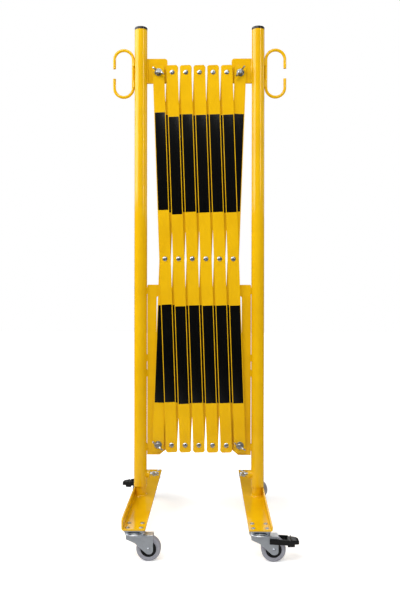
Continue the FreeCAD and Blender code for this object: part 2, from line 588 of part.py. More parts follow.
# ---- Castors (drawn at the swivel axis on Z, trailing towards +X) ------------------------------
def castor_plate():
    """Square top plate with the upper race, and the king pin that carries the fork."""
    low = CASTOR_HEIGHT - PLATE_THICKNESS
    half = PLATE_SIZE / 2
    wide = RACE_DIAMETER / 2 - RACE_STEP
    plate = level_slab(box_corners(-half, half, -half, half, PLATE_CORNER), low, CASTOR_HEIGHT)
    for x, y in screw_places(0, 0):
        plate = plate.cut(cylinder(SCREW_SHANK, Vector(x, y, low - 1),
                                   Vector(x, y, CASTOR_HEIGHT + 1)))
    race = turned([(KING_PIN / 2, low, 0), (KING_PIN / 2, RACE_Z, 0),
                   (wide, RACE_Z, RACE_BEVELS[0]), (wide, RACE_Z + RACE_FLARE, RACE_BEVELS[1]),
                   (RACE_NECK / 2, RACE_Z + RACE_FLARE + RACE_SLOPE, 0), (RACE_NECK / 2, low, 0)],
                  ORIGIN, Z)
    pin_low = CROWN_Z - KING_HEAD_HEIGHT - FACE_CLEARANCE
    pin = cylinder(KING_PIN, Z * pin_low, Z * low).fuse(
        cylinder(KING_HEAD, Z * pin_low, Z * (pin_low + KING_HEAD_HEIGHT)))
    return plate.fuse(race).removeSplitter().fuse(pin).removeSplitter()


def fork(braked):
    """Pressed fork: a dished lower race, a flat crown over the wheel and two tapering legs.

    Only a braked fork is pierced for the pedal's stub pins.
    """
    low = CROWN_Z
    high = low + FORK_SHEET
    outside = FORK_INSIDE / 2 + FORK_SHEET
    axle_z = WHEEL_DIAMETER / 2
    rear = CASTOR_TRAIL + FORK_REAR
    toe = WHEEL_DIAMETER / 2 - FORK_TOE
    ahead, front_round, rear_round = (FORK_TOE * share for share in FORK_TOE_PLACE)
    profile = [(-FORK_FRONT, high, 0), (-FORK_FRONT, low - FORK_APRON, 0), FORK_KNEE,
               (CASTOR_TRAIL - ahead, toe - FORK_TOE_DROP[0], front_round),
               (rear, toe - FORK_TOE_DROP[1], rear_round), (rear, high, 0)]
    block = slab(profile, -outside, outside)
    crown_edges = [edge for edge in block.Edges
                   if abs(edge.CenterOfMass.z - high) < 1e-3
                   and abs(abs(edge.CenterOfMass.y) - outside) < 1e-3]
    block = block.makeFillet(FORK_BEND, crown_edges)
    inside = Part.makeBox(4 * CASTOR_TRAIL, FORK_INSIDE, low, Vector(-2 * CASTOR_TRAIL,
                          -FORK_INSIDE / 2, 0))
    legs = block.cut(inside)
    bore, wide = KING_PIN / 2 + RUNNING_CLEARANCE, RACE_DIAMETER / 2
    dish = turned([(bore, low, 0), (wide - DISH_FOOT, low, DISH_BEVELS[0]),
                   (wide, low + DISH_SHOULDER, DISH_BEVELS[0]),
                   (wide, low + LOWER_RACE_HEIGHT, DISH_BEVELS[1]),
                   (bore, low + LOWER_RACE_HEIGHT, 0)], ORIGIN, Z)
    king_hole = cylinder(KING_PIN + 2 * RUNNING_CLEARANCE, Z * (low - 1), Z * CASTOR_HEIGHT)
    body = legs.fuse(dish).cut(king_hole)
    axle_hole = cylinder(AXLE_DIAMETER, Vector(CASTOR_TRAIL, -outside, axle_z),
                         Vector(CASTOR_TRAIL, outside, axle_z))
    body = body.cut(axle_hole)
    if braked:
        pin_x, pin_z = PEDAL_PIVOT
        body = body.cut(cylinder(PEDAL_PIN + 2 * RUNNING_CLEARANCE, Vector(pin_x, -outside, pin_z),
                                 Vector(pin_x, outside, pin_z)))
    body = body.removeSplitter()
    axle = cylinder(AXLE_DIAMETER, Vector(CASTOR_TRAIL, -outside, axle_z),
                    Vector(CASTOR_TRAIL, outside, axle_z))
    for side in (-1, 1):
        axle = axle.fuse(dome(AXLE_HEAD, AXLE_HEAD_HEIGHT,
                              Vector(CASTOR_TRAIL, side * outside, axle_z), Y * side))
    return group(body, axle.removeSplitter())


def wheel_hub():
    """Plastic wheel centre: bored boss, dished web and the rim that carries the tyre."""
    rim = HUB_DIAMETER / 2
    face = WHEEL_WIDTH / 2
    boss = WHEEL_HUB_WIDTH / 2
    bore = AXLE_DIAMETER / 2 + RUNNING_CLEARANCE
    return turned([(bore, -boss, 0), (HUB_BOSS / 2, -boss, HUB_BOSS_EDGE),
                   (HUB_BOSS / 2, HUB_RECESS - face, 0),
                   (rim - HUB_RIM, HUB_RECESS - face, 0), (rim - HUB_RIM, -face, 0), (rim, -face, 0),
                   (rim, face, 0), (rim - HUB_RIM, face, 0), (rim - HUB_RIM, face - HUB_RECESS, 0),
                   (HUB_BOSS / 2, face - HUB_RECESS, 0), (HUB_BOSS / 2, boss, HUB_BOSS_EDGE),
                   (bore, boss, 0)], Vector(CASTOR_TRAIL, 0, WHEEL_DIAMETER / 2), Y)


def tyre():
    """Solid rubber tyre with rounded shoulders."""
    face = WHEEL_WIDTH / 2
    outer = WHEEL_DIAMETER / 2
    shoulder = TYRE_EDGE * (1 - math.sqrt(0.5))
    return turned([(HUB_DIAMETER / 2, -face, 0), (outer - TYRE_EDGE, -face, 0),
                   (outer - shoulder, shoulder - face, 0), (outer, TYRE_EDGE - face, 0),
                   (outer, face - TYRE_EDGE, 0), (outer - shoulder, face - shoulder, 0),
                   (outer - TYRE_EDGE, face, 0), (HUB_DIAMETER / 2, face, 0)],
                  Vector(CASTOR_TRAIL, 0, WHEEL_DIAMETER / 2), Y)


def brake_pedal():
    """Forked foot lever: two side arms on stub pins and a broad tread behind the wheel."""
    pin_x, pin_z = PEDAL_PIVOT
    leg = FORK_INSIDE / 2 + FORK_SHEET
    arm_in = leg + PEDAL_SIDE_GAP
    arm_out = arm_in + PEDAL_CHEEK
    tread_in, tread_out = PEDAL_TREAD
    half = PEDAL_ARM / 2
    top = pin_z + PEDAL_TREAD_HEIGHT / 2
    bottom = pin_z - PEDAL_TREAD_HEIGHT / 2
    pieces = []
    for side in (-1, 1):
        near, far = sorted((side * arm_in, side * arm_out))
        arm = slab(box_corners(pin_x - half, tread_in + PEDAL_LAP, pin_z - half, pin_z + half,
                               PEDAL_EDGE), near, far)
        stub = cylinder(PEDAL_PIN, Vector(pin_x, side * (leg - FORK_SHEET), pin_z),
                        Vector(pin_x, side * arm_out, pin_z))
        pieces += [arm, stub]
    lip, depth = PEDAL_LIP
    place, rib, rise = PEDAL_RIB
    wide = PEDAL_TREAD_WIDTH / 2
    nose, crown, drop, nose_round = PEDAL_NOSE
    toe, inner, outer = PEDAL_TOE_WIDTH / 2, tread_out - place - rib, tread_out - place
    tread = slab([(tread_in, bottom - depth, PEDAL_SOFT), (tread_out - lip, bottom - depth,
                                                           PEDAL_SOFT),
                  (tread_out - lip, bottom, 0), (tread_out, bottom, PEDAL_EDGE),
                  (tread_out, top - drop, nose_round), (tread_out - nose, top + crown, PEDAL_SOFT),
                  (outer, top + crown, 0), (outer, top + rise, PEDAL_RIB_EDGE),
                  (inner, top + rise, PEDAL_RIB_EDGE), (inner, top, 0),
                  (tread_in, top, PEDAL_SOFT)], -wide, wide)
    ends = level_slab([(tread_in, -wide, 0), (tread_out, -toe, PEDAL_CORNER),
                       (tread_out, toe, PEDAL_CORNER), (tread_in, wide, 0)], 0, CASTOR_HEIGHT)
    pedal = pieces[0].fuse(pieces[1:] + [tread.common(ends)]).removeSplitter()
    pedal.rotate(Vector(pin_x, 0, pin_z), Y, PEDAL_SLOPE)
    return pedal


def castor_screws(x, y):
    """Four domed screws through the foot and a castor plate, each with its nut."""
    pieces = []
    under = CASTOR_HEIGHT - PLATE_THICKNESS
    for px, py in screw_places(x, y):
        place = Vector(px, py, 0)
        low = under - SCREW_NUT_HEIGHT
        shank = cylinder(SCREW_SHANK, place + Z * (low - SCREW_END), place + Z * FOOT_TOP)
        screw = shank.fuse(dome(SCREW_HEAD, SCREW_DOME, place + Z * FOOT_TOP, Z))
        nut = hexagon(SCREW_NUT_FLATS, SCREW_NUT_HEIGHT, place + Z * low, Z)
        pieces += [screw, nut.cut(shank)]
    return pieces


# ---- Assembly ----------------------------------------------------------------------------------
def both_posts():
    """The welded posts, their caps and clamp screws."""
    nodes = {}
    left = {"post_tube": post_tube(), "end_cap": end_cap(), "rod_hook": hook(),
            "top_bracket": top_bracket(), "slot_bracket": slot_bracket(),
            "clamp_boss": clamp_boss(), "clamp_screw": clamp_screw(CLAMP_TURN)}
    for name, shape in left.items():
        nodes["left_" + name] = to_left(shape)
        nodes["right_" + name] = mirrored(to_left(shape))
    return nodes


def lattice():
    """Slats with their rivets, and the four end bolts with their wing nuts."""
    nodes = {}
    last = CELLS
    for i in range(1, CELLS + 1):
        top_hole = BOLT_SHANK if i == 1 else RIVET_SHANK
        bottom_hole = BOLT_SHANK if i == last else RIVET_SHANK
        nodes[f"front_slat_{i}"] = slat(i - 1, i, FRONT_FRONT, FRONT_BACK, top_hole, bottom_hole)
        top_hole = BOLT_SHANK if i == last else RIVET_SHANK
        bottom_hole = BOLT_SHANK if i == 1 else RIVET_SHANK
        nodes[f"rear_slat_{i}"] = slat(i, i - 1, REAR_FRONT, REAR_BACK, top_hole, bottom_hole)
        rivets = [rivet((pivot_x(i) + pivot_x(i - 1)) / 2, MIDDLE_PIVOT)]
        if i > 1:
            rivets.append(rivet(pivot_x(i - 1), TOP_PIVOT))
        if i < last:
            rivets.append(rivet(pivot_x(i), BOTTOM_PIVOT))
        nodes[f"rivets_{i}"] = group(*rivets)
    ends = {"top_left": (pivot_x(0), TOP_PIVOT, FRONT_FRONT, False),
            "bottom_left": (pivot_x(0), BOTTOM_PIVOT, REAR_FRONT, True),
            "top_right": (pivot_x(last), TOP_PIVOT, REAR_FRONT, False),
            "bottom_right": (pivot_x(last), BOTTOM_PIVOT, FRONT_FRONT, True)}
    for name, (x, z, slat_front, sliding) in ends.items():
        nodes[name + "_bolt"] = end_bolt(x, z, slat_front, sliding)
        nodes[name + "_wing_nut"] = wing_nut(x, z, slat_front, NUT_TURNS[name])
    return nodes


def feet():
    """Feet, and under each end of them a castor."""
    nodes = {}
    castor_x = POST_X - CASTOR_OFFSET
    castor_y = FOOT_LENGTH / 2 - CASTOR_INSET
    nodes["left_foot"] = to_left(foot())
    nodes["right_foot"] = nodes["left_foot"].rotated(ORIGIN, Z, 180)
    plate, hub, tread, pedal = castor_plate(), wheel_hub(), tyre(), brake_pedal()
    forks = {braked: fork(braked) for braked in (False, True)}
    for side, x in (("left", -castor_x), ("right", castor_x)):
        plates, screws = [], []
        for end, y in (("front", -castor_y), ("rear", castor_y)):
            turn = CASTOR_TURNS[side, end]
            place = FreeCAD.Placement(Vector(x, y, 0), FreeCAD.Rotation(Z, turn))
            braked = (side, end) in BRAKED
            moved = {"fork": forks[braked], "wheel_hub": hub, "tyre": tread}
            if braked:
                moved["brake_pedal"] = pedal
            for name, shape in moved.items():
                piece = shape.copy()
                piece.Placement = place.multiply(piece.Placement)
                nodes[f"{end}_{side}_{name}"] = piece
            top = plate.copy()
            top.Placement = place
            plates.append(top)
            screws += castor_screws(x, y)
        nodes[side + "_castor_plates"] = group(*plates)
        nodes[side + "_castor_screws"] = group(*screws)
    return nodes


def main():
    """Build every node and write one STEP file for each."""
    os.makedirs("parts", exist_ok=True)
    nodes = {**both_posts(), **lattice(), **feet()}
    for name, shape in sorted(nodes.items()):
        if not shape.isValid():
            print("not valid:", name)
        shape.exportStep(os.path.join("parts", name + ".step"))
    print(len(nodes), "nodes, posts at X =", POST_X, "pivots at Z =", round(TOP_PIVOT, 2),
          round(MIDDLE_PIVOT, 2), round(BOTTOM_PIVOT, 2))


main()
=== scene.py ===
"""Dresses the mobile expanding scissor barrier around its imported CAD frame.

The barrier stands folded: two round posts on castored feet, joined by a lattice of flat slats. The
CAD nodes keep their shapes and get their finishes here. Vinyl bands, turned tyres and caps, weld
beads and the thread of the clamp screws are added as pieces that ride on the CAD bodies. Lengths are
metres, in the CAD frame: X from the left post to the right one, Y from the front to the back, and Z
up from the floor.
"""

from __future__ import annotations

import json
import logging
import math
from dataclasses import dataclass
from enum import Enum
from typing import Any, Callable, Iterable, Sequence

import bmesh
import bpy
from mathutils import Matrix, Vector

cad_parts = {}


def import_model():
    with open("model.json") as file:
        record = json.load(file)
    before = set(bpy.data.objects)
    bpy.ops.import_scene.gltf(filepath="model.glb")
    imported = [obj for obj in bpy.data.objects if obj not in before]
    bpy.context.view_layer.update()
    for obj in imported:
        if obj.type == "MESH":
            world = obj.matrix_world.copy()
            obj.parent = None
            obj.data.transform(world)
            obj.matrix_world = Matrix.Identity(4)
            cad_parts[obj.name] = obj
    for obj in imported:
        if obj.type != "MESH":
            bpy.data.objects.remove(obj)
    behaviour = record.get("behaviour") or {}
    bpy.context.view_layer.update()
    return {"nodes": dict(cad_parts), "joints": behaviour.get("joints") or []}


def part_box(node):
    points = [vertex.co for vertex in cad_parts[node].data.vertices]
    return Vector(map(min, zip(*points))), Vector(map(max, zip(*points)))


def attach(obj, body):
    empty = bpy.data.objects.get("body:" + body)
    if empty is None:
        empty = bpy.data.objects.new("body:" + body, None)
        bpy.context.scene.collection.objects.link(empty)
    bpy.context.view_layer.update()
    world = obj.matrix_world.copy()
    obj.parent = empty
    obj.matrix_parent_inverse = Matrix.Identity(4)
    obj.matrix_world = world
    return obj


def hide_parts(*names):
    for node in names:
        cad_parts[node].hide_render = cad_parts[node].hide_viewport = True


LOG = logging.getLogger("scissor_barrier")
MM = 0.001


# ---- Shared helpers -----------------------------------------------------------------------------
def linear(colour: str) -> tuple[float, float, float, float]:
    """Turns an sRGB hex colour into linear RGBA.

    Args:
        colour: the colour as "#rrggbb".

    Returns:
        The linear red, green and blue, and an alpha of 1.
    """
    parts = [int(colour[i:i + 2], 16) / 255 for i in (1, 3, 5)]
    flat = [c / 12.92 if c <= 0.04045 else ((c + 0.055) / 1.055) ** 2.4 for c in parts]
    return (flat[0], flat[1], flat[2], 1.0)


def per_metre(spacing_mm: float) -> float:
    """Gives the texture scale whose features repeat at about a spacing in millimetres."""
    return 1.0 / (spacing_mm * MM)


def add_node(tree: bpy.types.NodeTree, kind: str, inputs: dict[Any, Any] | None = None,
             **settings: Any) -> bpy.types.Node:
    """Adds one shader node with its settings and links.

    Args:
        tree: the node tree to add to.
        kind: the node's type.
        inputs: for each socket, a value for it or the output socket to link to it.
        **settings: attributes of the node.

    Returns:
        The new node.
    """
    node = tree.nodes.new(kind)
    for key, value in settings.items():
        setattr(node, key, value)
    for key, value in (inputs or {}).items():
        if isinstance(value, bpy.types.NodeSocket):
            tree.links.new(value, node.inputs[key])
        else:
            node.inputs[key].default_value = value
    return node


def new_finish(name: str) -> tuple[bpy.types.Material, bpy.types.Node, bpy.types.NodeSocket]:
    """Starts a finish.

    Args:
        name: the material's name.

    Returns:
        The material, its main shader, and the object coordinates that place its patterns.
    """
    material = bpy.data.materials.new(name)
    material.use_nodes = True
    shader = material.node_tree.nodes["Principled BSDF"]
    place = add_node(material.node_tree, "ShaderNodeTexCoord").outputs["Object"]
    return material, shader, place


def mesh_object(name: str, mesh: bmesh.types.BMesh, material: bpy.types.Material,
                crease_deg: float = 34.0) -> bpy.types.Object:
    """Makes an object of a finished bmesh, smooth but for its sharp edges.

    Args:
        name: the piece's name.
        mesh: the geometry, which is freed.
        material: the finish.
        crease_deg: edges that turn by more than this stay sharp.

    Returns:
        The new object, linked to the scene.
    """
    bmesh.ops.recalc_face_normals(mesh, faces=mesh.faces[:])
    for edge in mesh.edges:
        edge.smooth = edge.is_manifold and edge.calc_face_angle(0.0) < math.radians(crease_deg)
    for face in mesh.faces:
        face.smooth = True
    data = bpy.data.meshes.new(name)
    mesh.to_mesh(data)
    mesh.free()
    data.materials.append(material)
    piece = bpy.data.objects.new(name, data)
    bpy.context.scene.collection.objects.link(piece)
    return piece


def lathe(mesh: bmesh.types.BMesh, profile: Sequence[tuple[float, float]], place: Matrix,
          steps: int = 48) -> None:
    """Turns a profile about Z and adds it to a mesh.

    Args:
        mesh: the mesh that gains the turned form.
        profile: (radius, height) points in metres, in order. A closed ring of points makes a ring.
        place: where the turned axis goes.
        steps: sides round the axis.
    """
    rings: list[list[bmesh.types.BMVert]] = []
    for radius, height in profile:
        if radius < 1e-7:
            rings.append([mesh.verts.new(place @ Vector((0, 0, height)))])
            continue
        turn = [2 * math.pi * k / steps for k in range(steps)]
        rings.append([mesh.verts.new(place @ Vector((radius * math.cos(a), radius * math.sin(a),
                                                     height))) for a in turn])
    closed = len(rings[0]) > 1 and len(rings[-1]) > 1
    pairs = list(zip(rings, rings[1:])) + ([(rings[-1], rings[0])] if closed else [])
    for low, high in pairs:
        for k in range(steps):
            nearby = (k + 1) % steps
            corners = [low[k % len(low)], low[nearby % len(low)], high[nearby % len(high)],
                       high[k % len(high)]]
            unique = list(dict.fromkeys(corners))
            if len(unique) > 2:
                mesh.faces.new(unique)


def arc(centre: tuple[float, float], radius: float, start_deg: float, end_deg: float,
        steps: int = 6) -> list[tuple[float, float]]:
    """Gives points along an arc of a profile.

    Args:
        centre: the arc's centre, as (radius, height).
        radius: the arc's own radius.
        start_deg: first direction, in degrees from outward.
        end_deg: last direction.
        steps: pieces that the arc is cut into.

    Returns:
        The points in order.
    """
    turns = [math.radians(start_deg + (end_deg - start_deg) * k / steps) for k in range(steps + 1)]
    return [(centre[0] + radius * math.cos(t), centre[1] + radius * math.sin(t)) for t in turns]


def along(axis: Vector, at: Vector) -> Matrix:
    """Gives the place of a turned form whose Z axis runs along a direction from a point."""
    return Matrix.Translation(at) @ axis.to_track_quat("Z", "Y").to_matrix().to_4x4()


@dataclass(frozen=True)
class Bead:
    """A weld bead laid as overlapping ripples, which the powder coat rounds off."""

    radius: float = 2.5 * MM
    ripple: float = 0.35 * MM
    pitch: float = 2.6 * MM
    sides: int = 10

    def lay(self, mesh: bmesh.types.BMesh, path: Callable[[float], Vector], length: float,
            closed: bool = False) -> None:
        """Adds the bead along a path.

        Args:
            mesh: the mesh that gains the bead.
            path: gives the point at each share of the length, from 0 to 1.
            length: length of the path.
            closed: the path ends where it starts.
        """
        steps = max(8, round(length / self.pitch) * 6)
        rings: list[list[bmesh.types.BMVert]] = []
        for k in range(steps if closed else steps + 1):
            share = k / steps
            here, ahead = path(share), path(share + 1e-3)
            travel = abs(math.sin(math.pi * share * round(length / self.pitch)))
            fade = 1.0 if closed else min(1.0, 4 * math.sqrt(max(share * (1 - share), 0.0)) + 0.15)
            radius = (self.radius - self.ripple * (1 - travel)) * fade
            place = along((ahead - here).normalized(), here)
            rings.append([mesh.verts.new(place @ Vector((
                radius * math.cos(2 * math.pi * i / self.sides),
                radius * math.sin(2 * math.pi * i / self.sides), 0))) for i in range(self.sides)])
        pairs = list(zip(rings, rings[1:])) + ([(rings[-1], rings[0])] if closed else [])
        for low, high in pairs:
            for i in range(self.sides):
                n = (i + 1) % self.sides
                mesh.faces.new((low[i], low[n], high[n], high[i]))
        if not closed:
            mesh.faces.new(rings[0][::-1])
            mesh.faces.new(rings[-1])


def thread(mesh: bmesh.types.BMesh, place: Matrix, radius: float, length: float,
           pitch: float = 1.25 * MM, depth: float = 0.55 * MM, sides: int = 28) -> None:
    """Adds a screw thread that runs up Z.

    Args:
        mesh: the mesh that gains the thread.
        place: where the thread starts, with its axis on Z.
        radius: radius over the crests.
        length: length of the thread.
        pitch: height of one turn.
        depth: depth of the roots below the crests.
        sides: sides round the axis.
    """
    steps = max(4, round(length / pitch * 8))
    rings: list[list[bmesh.types.BMVert]] = []
    for k in range(steps + 1):
        height = length * k / steps
        ring = []
        for i in range(sides):
            phase = (height / pitch - i / sides) % 1.0
            flank = min(1.0, max(0.0, 2.2 * abs(phase - 0.5) * 2 - 0.6))
            reach = radius - depth * flank
            turn = 2 * math.pi * i / sides
            ring.append(mesh.verts.new(place @ Vector((reach * math.cos(turn),
                                                       reach * math.sin(turn), height))))
        rings.append(ring)
    for low, high in zip(rings, rings[1:]):
        for i in range(sides):
            n = (i + 1) % sides
            mesh.faces.new((low[i], low[n], high[n], high[i]))
    mesh.faces.new(rings[0][::-1])
    mesh.faces.new(rings[-1])


# ---- Finishes -----------------------------------------------------------------------------------
class Moulding(Enum):
    """How a black plastic piece was moulded."""

    POLISHED = "polished"
    SATIN = "satin"
    SPARKED = "sparked"


@dataclass(frozen=True)
class PowderCoat:
    """Polyester powder coat, sprayed and stoved on steel.

    A thick glossy film with faint orange peel, paler where it thins and deeper where it pools.
    """

    name: str
    colour: str
    deep: str
    roughness: float = 0.10
    peel_mm: float = 3.2
    pooling_mm: float = 90.0

    def make(self) -> bpy.types.Material:
        """Builds the material."""
        material, shader, place = new_finish(self.name)
        tree = material.node_tree
        pools = add_node(tree, "ShaderNodeTexNoise", {
            "Vector": place, "Scale": per_metre(self.pooling_mm), "Detail": 3.0, "Roughness": 0.55})
        spread = add_node(tree, "ShaderNodeMapRange", {
            "Value": pools.outputs["Fac"], "From Min": 0.42, "From Max": 0.72, "To Min": 0.0,
            "To Max": 0.55})
        tint = add_node(tree, "ShaderNodeMix", {
            "Factor": spread.outputs["Result"], "A": linear(self.colour), "B": linear(self.deep)},
            data_type="RGBA")
        tree.links.new(tint.outputs["Result"], shader.inputs["Base Color"])
        haze = add_node(tree, "ShaderNodeTexNoise", {
            "Vector": place, "Scale": per_metre(26.0), "Detail": 4.0})
        gloss = add_node(tree, "ShaderNodeMapRange", {
            "Value": haze.outputs["Fac"], "From Min": 0.3, "From Max": 0.7,
            "To Min": self.roughness - 0.02, "To Max": self.roughness + 0.03})
        tree.links.new(gloss.outputs["Result"], shader.inputs["Roughness"])
        # Orange peel: shallow swells a few millimetres across, left as the powder flows and sets.
        peel = add_node(tree, "ShaderNodeTexNoise", {
            "Vector": place, "Scale": per_metre(self.peel_mm), "Detail": 1.5})
        corner = add_node(tree, "ShaderNodeBevel", {"Radius": 0.6 * MM}, samples=4)
        bump = add_node(tree, "ShaderNodeBump", {
            "Strength": 0.03, "Distance": 0.4 * MM, "Height": peel.outputs["Fac"],
            "Normal": corner.outputs["Normal"]})
        tree.links.new(bump.outputs["Normal"], shader.inputs["Normal"])
        shader.inputs["IOR"].default_value = 1.5
        return material


@dataclass(frozen=True)
class ZincPlate:
    """Zinc electroplate on pressed or turned steel, blue-passivated.

    A cool grey metal, mottled by its fine crystals, brighter where it was pressed or rubbed.
    """

    name: str
    colour: str
    dull: str
    roughness: float
    grain_mm: float = 0.8

    def make(self) -> bpy.types.Material:
        """Builds the material."""
        material, shader, place = new_finish(self.name)
        tree = material.node_tree
        grains = add_node(tree, "ShaderNodeTexVoronoi", {
            "Vector": place, "Scale": per_metre(self.grain_mm)})
        bloom = add_node(tree, "ShaderNodeTexNoise", {
            "Vector": place, "Scale": per_metre(9.0), "Detail": 5.0, "Roughness": 0.6})
        mottle = add_node(tree, "ShaderNodeMath", {
            0: bloom.outputs["Fac"], 1: grains.outputs["Distance"]}, operation="MULTIPLY")
        amount = add_node(tree, "ShaderNodeMapRange", {
            "Value": mottle.outputs["Value"], "From Min": 0.08, "From Max": 0.34, "To Min": 0.0,
            "To Max": 0.45})
        tint = add_node(tree, "ShaderNodeMix", {
            "Factor": amount.outputs["Result"], "A": linear(self.colour), "B": linear(self.dull)},
            data_type="RGBA")
        tree.links.new(tint.outputs["Result"], shader.inputs["Base Color"])
        gloss = add_node(tree, "ShaderNodeMapRange", {
            "Value": bloom.outputs["Fac"], "From Min": 0.3, "From Max": 0.7,
            "To Min": self.roughness - 0.06, "To Max": self.roughness + 0.1})
        tree.links.new(gloss.outputs["Result"], shader.inputs["Roughness"])
        corner = add_node(tree, "ShaderNodeBevel", {"Radius": 0.35 * MM}, samples=4)
        bump = add_node(tree, "ShaderNodeBump", {
            "Strength": 0.05, "Distance": 0.08 * MM, "Height": grains.outputs["Distance"],
            "Normal": corner.outputs["Normal"]})
        tree.links.new(bump.outputs["Normal"], shader.inputs["Normal"])
        shader.inputs["Metallic"].default_value = 1.0
        return material


@dataclass(frozen=True)
class BlackPlastic:
    """Carbon-black plastic, injection moulded.

    Near black, with the gloss of the tool: polished for the caps, satin for the wheel centres and
    spark-eroded grain for the pedals, scuffed grey in places.
    """

    name: str
    colour: str
    scuff: str
    moulding: Moulding

    def make(self) -> bpy.types.Material:
        """Builds the material."""
        roughness = {Moulding.POLISHED: 0.2, Moulding.SATIN: 0.3, Moulding.SPARKED: 0.3}
        grain_mm = {Moulding.POLISHED: 2.4, Moulding.SATIN: 1.1, Moulding.SPARKED: 0.6}
        depth = {Moulding.POLISHED: 0.03, Moulding.SATIN: 0.10, Moulding.SPARKED: 0.35}
        base = roughness[self.moulding]
        material, shader, place = new_finish(self.name)
        tree = material.node_tree
        wear = add_node(tree, "ShaderNodeTexNoise", {
            "Vector": place, "Scale": per_metre(7.0), "Detail": 6.0, "Roughness": 0.65})
        amount = add_node(tree, "ShaderNodeMapRange", {
            "Value": wear.outputs["Fac"], "From Min": 0.52, "From Max": 0.8, "To Min": 0.0,
            "To Max": 0.4})
        tint = add_node(tree, "ShaderNodeMix", {
            "Factor": amount.outputs["Result"], "A": linear(self.colour), "B": linear(self.scuff)},
            data_type="RGBA")
        tree.links.new(tint.outputs["Result"], shader.inputs["Base Color"])
        gloss = add_node(tree, "ShaderNodeMapRange", {
            "Value": wear.outputs["Fac"], "From Min": 0.35, "From Max": 0.75,
            "To Min": base - 0.04, "To Max": base + 0.14})
        tree.links.new(gloss.outputs["Result"], shader.inputs["Roughness"])
        grain = add_node(tree, "ShaderNodeTexNoise", {
            "Vector": place, "Scale": per_metre(grain_mm[self.moulding]), "Detail": 2.0})
        corner = add_node(tree, "ShaderNodeBevel", {"Radius": 0.5 * MM}, samples=4)
        bump = add_node(tree, "ShaderNodeBump", {
            "Strength": depth[self.moulding], "Distance": 0.1 * MM, "Height": grain.outputs["Fac"],
            "Normal": corner.outputs["Normal"]})
        tree.links.new(bump.outputs["Normal"], shader.inputs["Normal"])
        shader.inputs["IOR"].default_value = 1.49
        return material


@dataclass(frozen=True)
class Vinyl:
    """Calendered black vinyl film, cut to strips and pressed on by hand.

    Flat deep black with a soft sheen and a fine leathery grain, and dust caught in it.
    """

    name: str
    colour: str
    dust: str
    grain_mm: float = 0.9

    def make(self) -> bpy.types.Material:
        """Builds the material."""
        material, shader, place = new_finish(self.name)
        tree = material.node_tree
        clouds = add_node(tree, "ShaderNodeTexNoise", {
            "Vector": place, "Scale": per_metre(34.0), "Detail": 6.0, "Roughness": 0.6})
        amount = add_node(tree, "ShaderNodeMapRange", {
            "Value": clouds.outputs["Fac"], "From Min": 0.5, "From Max": 0.8, "To Min": 0.0,
            "To Max": 0.5})
        tint = add_node(tree, "ShaderNodeMix", {
            "Factor": amount.outputs["Result"], "A": linear(self.colour), "B": linear(self.dust)},
            data_type="RGBA")
        tree.links.new(tint.outputs["Result"], shader.inputs["Base Color"])
        # The real grain is about 0.2 mm; it is drawn coarser so that it still shows.
        grain = add_node(tree, "ShaderNodeTexVoronoi", {
            "Vector": place, "Scale": per_metre(self.grain_mm)})
        bump = add_node(tree, "ShaderNodeBump", {
            "Strength": 0.15, "Distance": 0.06 * MM, "Height": grain.outputs["Distance"]})
        tree.links.new(bump.outputs["Normal"], shader.inputs["Normal"])
        shader.inputs["Roughness"].default_value = 0.18
        shader.inputs["IOR"].default_value = 1.5
        return material


@dataclass(frozen=True)
class TreadRubber:
    """Grey thermoplastic rubber, moulded on to the wheel centre.

    A soft non-marking grey, dull, with a rubbed band where it rolls and specks of dirt.
    """

    name: str
    colour: str
    rubbed: str

    def make(self) -> bpy.types.Material:
        """Builds the material."""
        material, shader, place = new_finish(self.name)
        tree = material.node_tree
        dirt = add_node(tree, "ShaderNodeTexNoise", {
            "Vector": place, "Scale": per_metre(5.0), "Detail": 7.0, "Roughness": 0.7})
        amount = add_node(tree, "ShaderNodeMapRange", {
            "Value": dirt.outputs["Fac"], "From Min": 0.42, "From Max": 0.78, "To Min": 0.0,
            "To Max": 0.7})
        tint = add_node(tree, "ShaderNodeMix", {
            "Factor": amount.outputs["Result"], "A": linear(self.colour), "B": linear(self.rubbed)},
            data_type="RGBA")
        tree.links.new(tint.outputs["Result"], shader.inputs["Base Color"])
        bump = add_node(tree, "ShaderNodeBump", {
            "Strength": 0.25, "Distance": 0.1 * MM, "Height": dirt.outputs["Fac"]})
        tree.links.new(bump.outputs["Normal"], shader.inputs["Normal"])
        shader.inputs["Roughness"].default_value = 0.55
        shader.inputs["IOR"].default_value = 1.5
        return material


